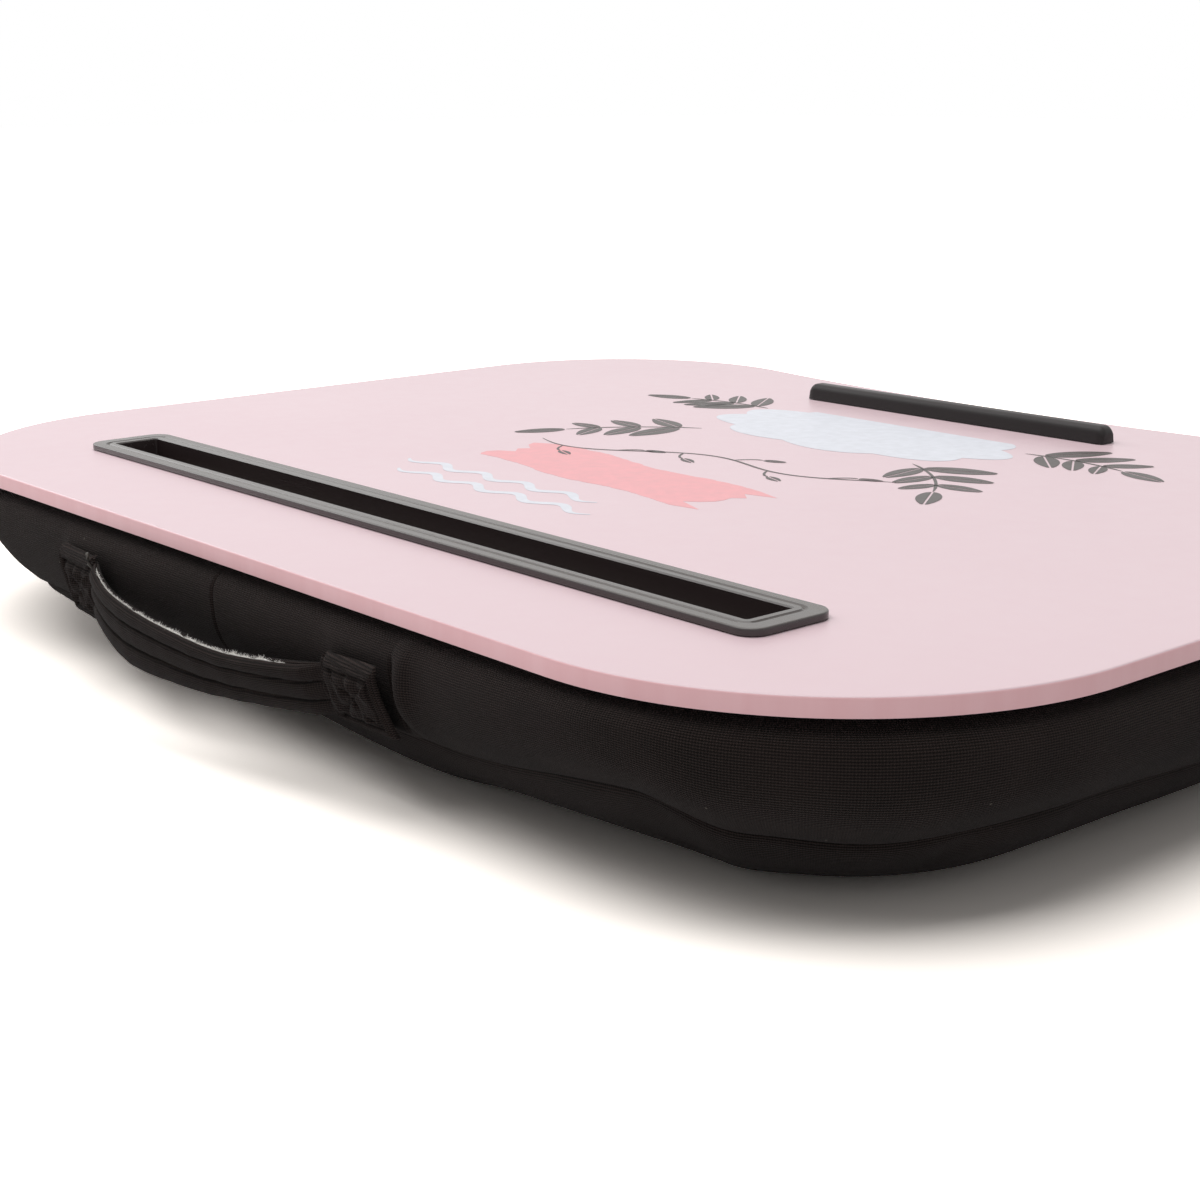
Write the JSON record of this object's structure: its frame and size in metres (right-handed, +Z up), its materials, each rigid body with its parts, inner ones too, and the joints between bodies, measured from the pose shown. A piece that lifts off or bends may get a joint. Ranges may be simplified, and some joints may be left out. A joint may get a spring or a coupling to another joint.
{
  "type": "laptop tray",
  "caption": "Lap desk: a round-cornered board with a device slot and a stop ledge, on a bean-filled fabric cushion with a padded strap handle.",
  "frame": {"origin": "under the middle of the board, on the flat that the cushion rests on", "axes": "+X to the user's right, +Y away from the user to the side with the slot and the handle, +Z up"},
  "size_m": [0.48, 0.3957, 0.0653],
  "materials": {
    "painted_board": "MDF with a satin pale pink coating",
    "dark_plastic": "moulded, satin",
    "ledge_plastic": "moulded, soft matte",
    "zinc_screw": "zinc plated",
    "hook_tape": "moulded hooks on woven tape",
    "loop_tape": "looped pile on woven tape",
    "black_knit": "fine ribbed knit",
    "foam_beads": "loose expanded beads",
    "pale_fleece": "raw fleecy edge"
  },
  "bodies": {
    "tray": {"top_board": "painted_board", "slot_tray": "dark_plastic", "stop_ledge": "ledge_plastic", "ledge_screw_1": "zinc_screw", "ledge_screw_2": "zinc_screw", "ledge_screw_3": "zinc_screw", "hook_pad_back_left": "hook_tape", "hook_pad_back_right": "hook_tape", "hook_pad_front_left": "hook_tape", "hook_pad_front_right": "hook_tape", "loop_pad_back_left": "loop_tape", "loop_pad_back_right": "loop_tape", "loop_pad_front_left": "loop_tape", "loop_pad_front_right": "loop_tape", "cover_top_panel": "black_knit", "cover_band_left": "black_knit", "cover_band_right": "black_knit", "cover_bottom_panel": "black_knit", "bead_filling": "foam_beads", "handle_patch_left": "black_knit", "handle_patch_right": "black_knit", "strap_end_left": "black_knit", "strap_end_right": "black_knit"},
    "handle": {"handle_strap": "black_knit", "handle_padding": "pale_fleece"}
  },
  "joints": [
    {"name": "handle_swing", "type": "hinge", "parent": "tray", "child": "handle", "pos_m": [0, 0.19017, 0.04433], "axis": [1, 0, 0], "range_deg": [0, 60]}
  ]
}
